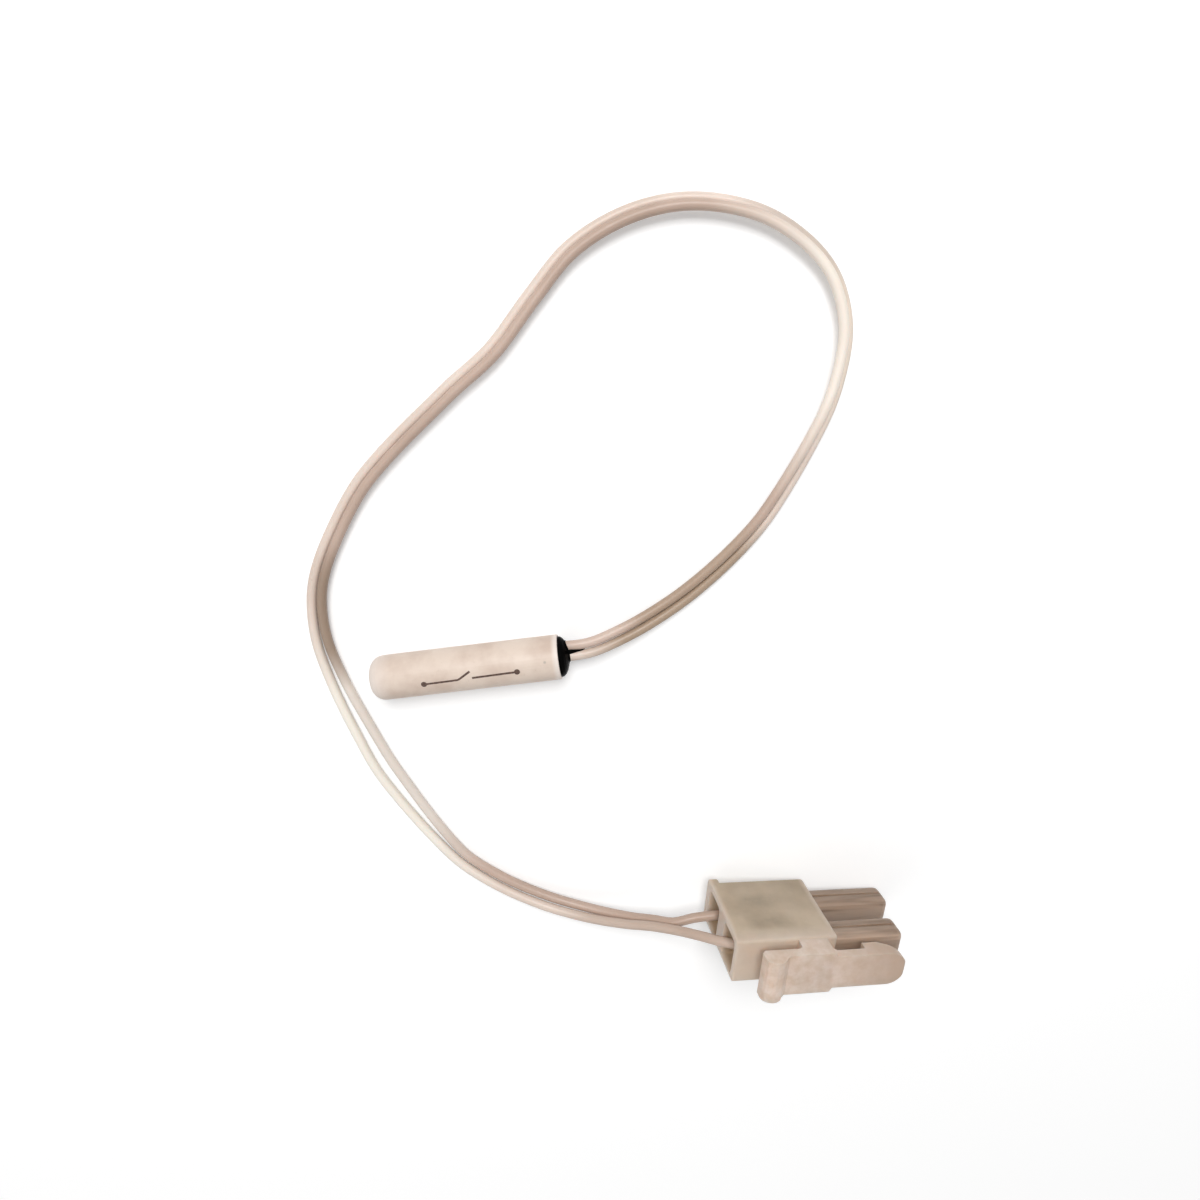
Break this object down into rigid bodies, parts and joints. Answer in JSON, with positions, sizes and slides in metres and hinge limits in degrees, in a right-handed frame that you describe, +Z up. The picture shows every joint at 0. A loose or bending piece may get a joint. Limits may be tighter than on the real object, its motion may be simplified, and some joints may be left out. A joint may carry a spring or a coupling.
{
  "type": "magnetic reed switch with plug lead",
  "caption": "Round moulded magnetic reed sensor with black potted end, two loose lead wires and a latching two-way plug.",
  "frame": {"origin": "middle of the sensor's bounding box at its lowest face, measured without the wires and the plug", "axes": "+X along the sensor from its closed end to its potted end, +Z up from the table that it lies on, +Y across the sensor"},
  "size_m": [0.0728, 0.0988, 0.0183],
  "materials": {
    "housing_plastic": "off-white moulded plastic, satin",
    "potting_resin": "glossy black resin",
    "capsule_glass": "clear, slightly green glass",
    "reed_metal": "nickel-iron, bright",
    "solder_metal": "tin solder, bright",
    "conductor_metal": "tinned copper strands",
    "wire_jacket": "soft off-white insulation, satin",
    "plug_nylon": "natural milky nylon, satin",
    "contact_metal": "tin-plated stamped metal"
  },
  "bodies": {
    "root": {"sensor_housing": "housing_plastic", "potting_compound": "potting_resin", "glass_capsule": "capsule_glass", "solder_joint_near": "solder_metal", "solder_joint_far": "solder_metal", "conductor_sensor_a": "conductor_metal", "conductor_sensor_b": "conductor_metal", "wire_a": "wire_jacket", "wire_b": "wire_jacket", "plug_housing": "plug_nylon", "contact_a": "contact_metal", "contact_b": "contact_metal", "conductor_plug_a": "conductor_metal", "conductor_plug_b": "conductor_metal"},
    "reed_near": {"reed_blade_near": "reed_metal"},
    "reed_far": {"reed_blade_far": "reed_metal"}
  },
  "joints": [
    {"name": "reed_near_bend", "type": "hinge", "parent": "root", "child": "reed_near", "pos_m": [0.00305, -0.0006, 0.00291], "axis": [0, 0, 1], "range_deg": [0, 0.43], "stiffness_Nm_per_rad": 0.002},
    {"name": "reed_far_bend", "type": "hinge", "parent": "root", "child": "reed_far", "pos_m": [-0.00895, -0.0006, 0.00291], "axis": [0, 0, 1], "range_deg": [0, 0.43], "stiffness_Nm_per_rad": 0.002}
  ],
  "couplings": [
    {"joint": "reed_far_bend", "follows": "reed_near_bend", "ratio": 1}
  ]
}
